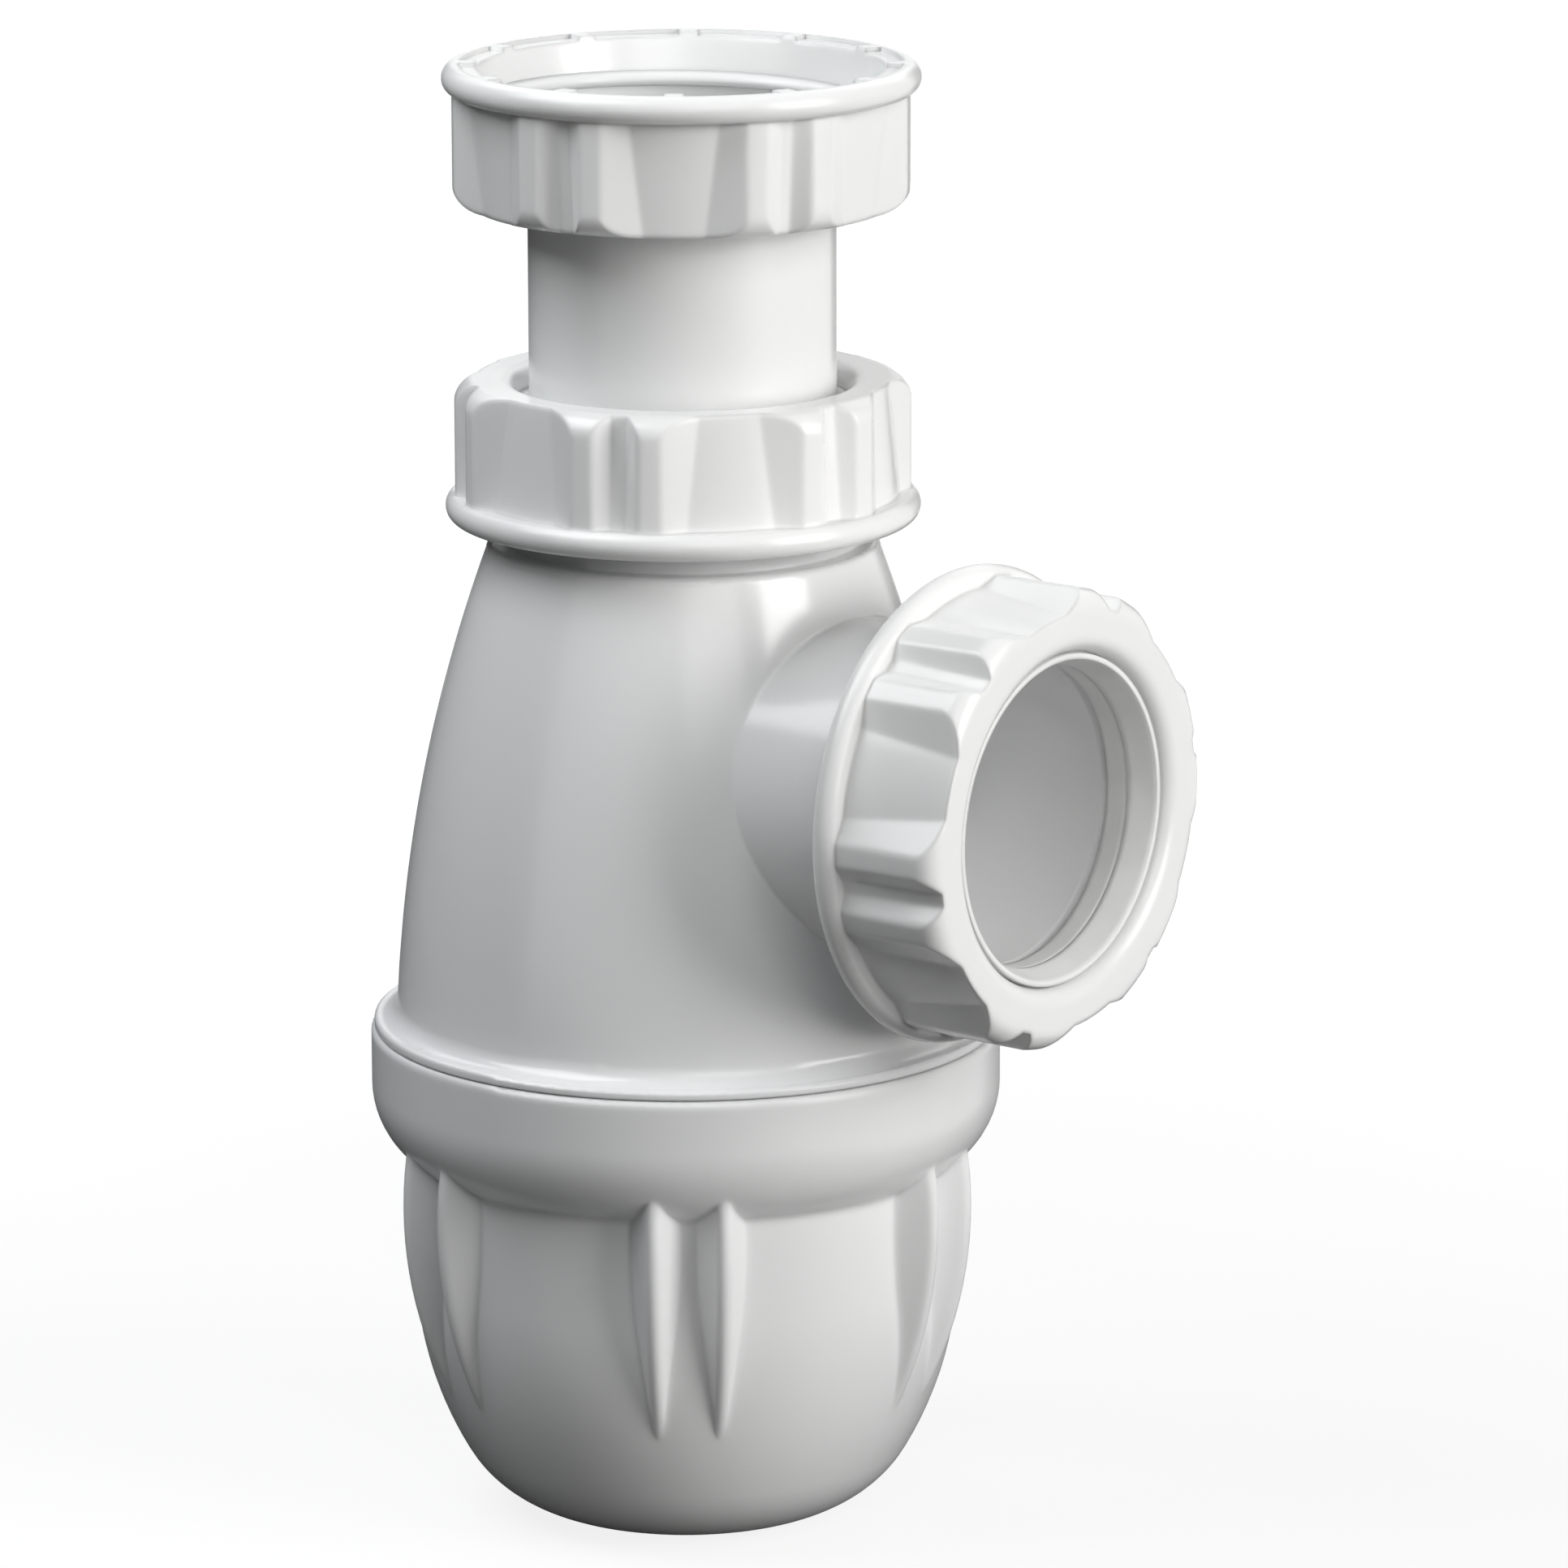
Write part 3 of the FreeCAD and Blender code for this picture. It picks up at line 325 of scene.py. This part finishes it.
def thread_tree(material):
    """A Geometry Nodes tree that winds a rounded ridge round the Z axis.

    A long prism's ends run from turn to turn, and each of its corners becomes a point of the
    ridge's section. A negative depth makes the ridge of a nut, on the inside of its wall."""
    tree = bpy.data.node_groups.new("thread_" + material.name, "GeometryNodeTree")
    tree.interface.new_socket("Geometry", in_out="OUTPUT", socket_type="NodeSocketGeometry")
    names = ("Wall Radius", "Depth", "Base Width", "Tip Width", "Pitch", "Turns", "Start Turn",
             "Start Height", "Fade", "Sink")
    for name in names:
        tree.interface.new_socket(name, in_out="INPUT", socket_type="NodeSocketFloat")
    tree.interface.new_socket("Segments", in_out="INPUT", socket_type="NodeSocketInt")
    given = tree.nodes.new("NodeGroupInput").outputs
    sums = Formula(tree)

    prism = tree.nodes.new("GeometryNodeMeshCylinder")
    prism.inputs["Vertices"].default_value = THREAD_CORNERS
    prism.inputs["Radius"].default_value = 1.0
    prism.inputs["Depth"].default_value = 1.0
    tree.links.new(given["Segments"], prism.inputs["Side Segments"])
    corner = tree.nodes.new("ShaderNodeSeparateXYZ")
    tree.links.new(tree.nodes.new("GeometryNodeInputPosition").outputs["Position"],
                   corner.inputs["Vector"])

    # How far round a corner lies, and how far the ridge has grown there from its faded ends
    turn = sums.times(sums.plus(corner.outputs["Z"], 0.5), given["Turns"])
    to_end = sums.do("MINIMUM", turn, sums.less(given["Turns"], turn))
    fade = sums.between(sums.do("DIVIDE", to_end, given["Fade"]), 0.0, 1.0)
    grown = sums.do("SINE", sums.times(fade, math.pi / 2))

    # The section: how high a corner stands on the wall, and how far to the side
    up = sums.between(sums.times(corner.outputs["X"], CREST_REACH), 0.0, 1.0)
    side = sums.between(sums.times(corner.outputs["Y"], FLANK_REACH), -1.0, 1.0)
    buried = sums.do("LESS_THAN", corner.outputs["X"], ROOT_BELOW)
    sink = sums.times(sums.times(sums.do("SIGN", given["Depth"]), given["Sink"]), buried)
    radius = sums.plus(given["Wall Radius"], sums.times(sums.times(given["Depth"], up), grown))
    radius = sums.less(radius, sink)
    width = sums.less(given["Base Width"],
                      sums.times(sums.less(given["Base Width"], given["Tip Width"]), up))
    across = sums.times(sums.times(side, sums.times(width, 0.5)),
                        sums.plus(sums.times(grown, 1 - END_WIDTH), END_WIDTH))
    height = sums.plus(sums.plus(given["Start Height"], sums.times(given["Pitch"], turn)), across)
    angle = sums.times(sums.plus(given["Start Turn"], turn), 2 * math.pi)

    point = tree.nodes.new("ShaderNodeCombineXYZ")
    tree.links.new(sums.times(radius, sums.do("COSINE", angle)), point.inputs["X"])
    tree.links.new(sums.times(radius, sums.do("SINE", angle)), point.inputs["Y"])
    tree.links.new(height, point.inputs["Z"])
    wind = tree.nodes.new("GeometryNodeSetPosition")
    tree.links.new(prism.outputs["Mesh"], wind.inputs["Geometry"])
    tree.links.new(point.outputs["Vector"], wind.inputs["Position"])
    whole = tree.nodes.new("GeometryNodeRealizeInstances")
    tree.links.new(wind.outputs["Geometry"], whole.inputs["Geometry"])
    smooth = tree.nodes.new("GeometryNodeSetShadeSmooth")
    tree.links.new(whole.outputs["Geometry"], smooth.inputs["Geometry"])
    finish = tree.nodes.new("GeometryNodeSetMaterial")
    finish.inputs["Material"].default_value = material
    tree.links.new(smooth.outputs["Geometry"], finish.inputs["Geometry"])
    tree.links.new(finish.outputs["Geometry"], tree.nodes.new("NodeGroupOutput").inputs["Geometry"])
    return tree


def baked(name, tree, inputs, place=None):
    """Runs a tree on an empty object, and makes its result a plain mesh object at the origin."""
    carrier = bpy.data.objects.new(name + "_carrier", bpy.data.meshes.new(name + "_carrier"))
    bpy.context.scene.collection.objects.link(carrier)
    modifier = carrier.modifiers.new("nodes", "NODES")
    modifier.node_group = tree
    for item in tree.interface.items_tree:
        if item.in_out == "INPUT" and item.name in inputs:
            modifier[item.identifier] = inputs[item.name]
    carrier.update_tag()
    bpy.context.view_layer.update()
    evaluated = carrier.evaluated_get(bpy.context.evaluated_depsgraph_get())
    mesh = bpy.data.meshes.new_from_object(evaluated)
    bpy.data.objects.remove(carrier)
    if place is not None:
        mesh.transform(place)
    work = bmesh.new()
    work.from_mesh(mesh)
    bmesh.ops.recalc_face_normals(work, faces=work.faces)
    work.to_mesh(mesh)
    work.free()
    mesh.name = name
    piece = bpy.data.objects.new(name, mesh)
    bpy.context.scene.collection.objects.link(piece)
    return piece


def thread_kind(pitch, depth, base, tip):
    return {"Pitch": pitch, "Depth": depth, "Base Width": base, "Tip Width": tip}


def make_thread(name, body, finish, kind, wall, start, end, datum, inside=False, place=None):
    """A ridge on a wall between two heights. Threads that mesh share a datum.

    A nut's ridge runs half a pitch away from the one on the neck that it screws on."""
    sizes = dict(kind)
    pitch = sizes["Pitch"]
    margin = sizes["Base Width"] / 2
    low, high = start + margin, end - margin
    shift = HALF_PITCH if inside else 0.0
    if inside:
        sizes["Depth"] = -sizes["Depth"]
    turns = (high - low) / pitch
    sizes.update({
        "Wall Radius": wall,
        "Turns": turns,
        "Start Height": low,
        "Start Turn": (low - datum) / pitch + shift,
        "Fade": THREAD_FADE,
        "Sink": THREAD_SINK,
        "Segments": round(turns * THREAD_STEPS),
    })
    piece = baked(name, thread_tree(FINISH[finish]), sizes, place)
    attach(piece, body)


def make_threads():
    """Every screwed joint of the trap, from the frame's mounts and boxes."""
    mounts = {mount["name"]: mount for mount in frame["record"]["mounts"]}
    fine = thread_kind(FINE_PITCH, FINE_DEPTH, FINE_BASE, FINE_TIP)
    coarse = thread_kind(COARSE_PITCH, COARSE_DEPTH, COARSE_BASE, COARSE_TIP)
    nut_wall = mounts["inlet"]["dims"]["r_mm"] * MM
    neck_wall = nut_wall - FINE_DEPTH - CREST_GAP
    thread_length = mounts["inlet"]["dims"]["length_mm"] * MM
    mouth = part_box("inlet_nut")[1][2] - mounts["inlet"]["pos_m"][2] - thread_length / 2

    inlet_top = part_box("inlet_nut")[1][2]
    make_thread("inlet_nut_thread", "inlet_union", "nut", fine, nut_wall,
                inlet_top - mouth - thread_length, inlet_top - mouth + INLET_RUN_OUT,
                inlet_top, inside=True)

    collar_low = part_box("collar_nut")[0][2]
    neck_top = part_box("trap_body")[1][2]
    make_thread("collar_nut_thread", "collar_union", "nut", fine, nut_wall,
                collar_low + mouth - NUT_RUN_OUT, collar_low + mouth + thread_length,
                neck_top, inside=True)
    make_thread("neck_thread", "body", "body", fine, neck_wall,
                collar_low + NECK_START, neck_top - PLAIN_END, neck_top)

    outlet_height = mounts["outlet"]["pos_m"][2]
    along_outlet = Matrix.Translation((0, 0, outlet_height)) @ Matrix(
        ((0, 0, 1, 0), (1, 0, 0, 0), (0, 1, 0, 0), (0, 0, 0, 1)))
    outlet_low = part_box("outlet_nut")[0][0]
    branch_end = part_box("trap_body")[1][0]
    make_thread("outlet_nut_thread", "outlet_union", "nut", fine, nut_wall,
                outlet_low + mouth - NUT_RUN_OUT, outlet_low + mouth + thread_length,
                branch_end, inside=True, place=along_outlet)
    make_thread("branch_thread", "body", "body", fine, neck_wall,
                outlet_low + BRANCH_START, branch_end - PLAIN_END, branch_end,
                place=along_outlet)

    skirt_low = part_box("trap_body")[0][2]
    rim_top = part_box("cup")[1][2]
    cup_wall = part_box("cup")[1][1] - RIM_WALL
    make_thread("skirt_thread", "body", "body", coarse, cup_wall - SKIRT_GAP,
                skirt_low + SKIRT_START, rim_top - SKIRT_END, rim_top)
    make_thread("cup_thread", "screw_cup", "cup", coarse, cup_wall,
                skirt_low, rim_top - CUP_END, rim_top, inside=True)


# Stage

def round_camera(turn):
    """Level directions out from the trap and across that, at a turn from the camera's side."""
    angle = VIEW_TURN + math.radians(turn)
    out = Vector((math.sin(angle), -math.cos(angle), 0))
    along = Vector((math.cos(angle), math.sin(angle), 0))
    return out, along


def make_camera():
    """Looks past the trap's axis by as much as the photograph does."""
    out, right = round_camera(0)
    away = out * math.cos(VIEW_RISE) + Vector((0, 0, math.sin(VIEW_RISE)))
    up = away.cross(right)
    pixel = VIEW_DISTANCE * SENSOR / LENS / PHOTO_SIDE
    centre = AIM + right * (PHOTO_SIDE / 2 - AIM_PIXEL[0]) * pixel
    centre = centre + up * (AIM_PIXEL[1] - PHOTO_SIDE / 2) * pixel
    camera = bpy.data.objects.new("camera", bpy.data.cameras.new("camera"))
    bpy.context.scene.collection.objects.link(camera)
    camera.data.lens = LENS
    camera.data.sensor_width = SENSOR
    camera.data.clip_end = VIEW_REACH
    camera.location = AIM + away * VIEW_DISTANCE
    look = (centre - camera.location).to_track_quat("-Z", "Y")
    camera.rotation_euler = (look @ Quaternion((0, 0, 1), -VIEW_ROLL)).to_euler()
    bpy.context.scene.camera = camera


def make_softbox(name, turn, rise, power, colour, kind):
    """A square soft lamp that looks at the trap, by its turn from the camera's side and rise."""
    side, distance = kind
    lamp = bpy.data.lights.new(name, "AREA")
    lamp.shape = "SQUARE"
    lamp.size = side
    lamp.energy = power
    lamp.color = colour
    holder = bpy.data.objects.new(name, lamp)
    bpy.context.scene.collection.objects.link(holder)
    lift = math.radians(rise)
    away = round_camera(turn)[0] * math.cos(lift) + Vector((0, 0, math.sin(lift)))
    holder.location = AIM + away * distance
    holder.rotation_euler = (AIM - holder.location).to_track_quat("-Z", "Y").to_euler()


def background_share(tree):
    """1 for what the camera, a reflection or a pane sees, and 0 for light on the object."""
    rays = tree.nodes.new("ShaderNodeLightPath").outputs
    sums = Formula(tree)
    seen = sums.plus(rays["Is Camera Ray"], rays["Is Glossy Ray"])
    return sums.do("MINIMUM", sums.plus(seen, rays["Is Transmission Ray"]), 1.0)


def make_world():
    """White behind the object, and a dim even light on it."""
    world = bpy.data.worlds.new("studio")
    bpy.context.scene.world = world
    world.use_nodes = True
    tree = world.node_tree
    shader = tree.nodes["Background"]
    shader.inputs["Color"].default_value = (1, 1, 1, 1)
    level = spread(tree, background_share(tree), *WORLD_LIGHT, 0, 1)
    tree.links.new(level, shader.inputs["Strength"])


def make_plane(name, corners, finish, grain, greys, roughness):
    """A matt plane of the stage between four corners, and the parts of its material."""
    mesh = bpy.data.meshes.new(name)
    mesh.from_pydata(corners, [], [(0, 1, 2, 3)])
    plane = bpy.data.objects.new(name, mesh)
    bpy.context.scene.collection.objects.link(plane)
    material, tree, shader, place = new_material(finish)
    dark, pale = [[grey] * 3 for grey in greys]
    tone = blend_colours(tree, noise(tree, place, grain, 2), dark, pale)
    tree.links.new(tone, shader.inputs["Base Color"])
    shader.inputs["Roughness"].default_value = roughness
    shader.inputs["Specular IOR Level"].default_value = 0.0
    mesh.materials.append(material)
    return plane, (tree, shader, place)


def make_floor():
    """A pale plain floor that keeps the trap's shadow."""
    half, low = FLOOR_HALF, FLOOR_HEIGHT
    corners = [(-half, -half, low), (half, -half, low), (half, half, low), (-half, half, low)]
    tree, shader, place = make_plane("floor", corners, "floor_paper", **PAPER)[1]
    shader.inputs["Emission Color"].default_value = (1, 1, 1, 1)
    away = tree.nodes.new("ShaderNodeVectorMath")
    away.operation = "LENGTH"
    tree.links.new(place, away.inputs["Vector"])
    near_glow = spread(tree, away.outputs["Value"], *FLOOR_GLOW, *FLOOR_GLOW_REACH)
    glow = Formula(tree).times(near_glow, background_share(tree))
    tree.links.new(glow, shader.inputs["Emission Strength"])


def make_card(name, corners, only_mirrored):
    """A black card that the camera doesn't see. It shades what faces it, or is only mirrored."""
    card = make_plane(name, corners, name + "_cloth", **CLOTH)[0]
    card.visible_camera = False
    card.visible_shadow = card.visible_diffuse = not only_mirrored


def make_cards():
    """Two cards at the trap's dark side, standing and lying, and two behind its edges."""
    for name, turn, distance, half, height in STANDING_CARDS:
        out, along = round_camera(turn)
        foot, wide, top = out * distance, along * half, Vector((0, 0, height))
        make_card(name, [foot - wide, foot + wide, foot + wide + top, foot - wide + top], False)
    turn, near, far, half, height = LYING_CARD
    out, along = round_camera(turn)
    above, wide = Vector((0, 0, height)), along * half
    make_card("floor_card", [above + out * near - wide, above + out * near + wide,
                             above + out * far + wide, above + out * far - wide], True)


def make_stage():
    bpy.context.scene.view_settings.view_transform = "Standard"
    make_camera()
    make_world()
    make_floor()
    make_cards()
    for lamp in LAMPS:
        make_softbox(*lamp)


finish_nodes()
make_threads()
make_stage()
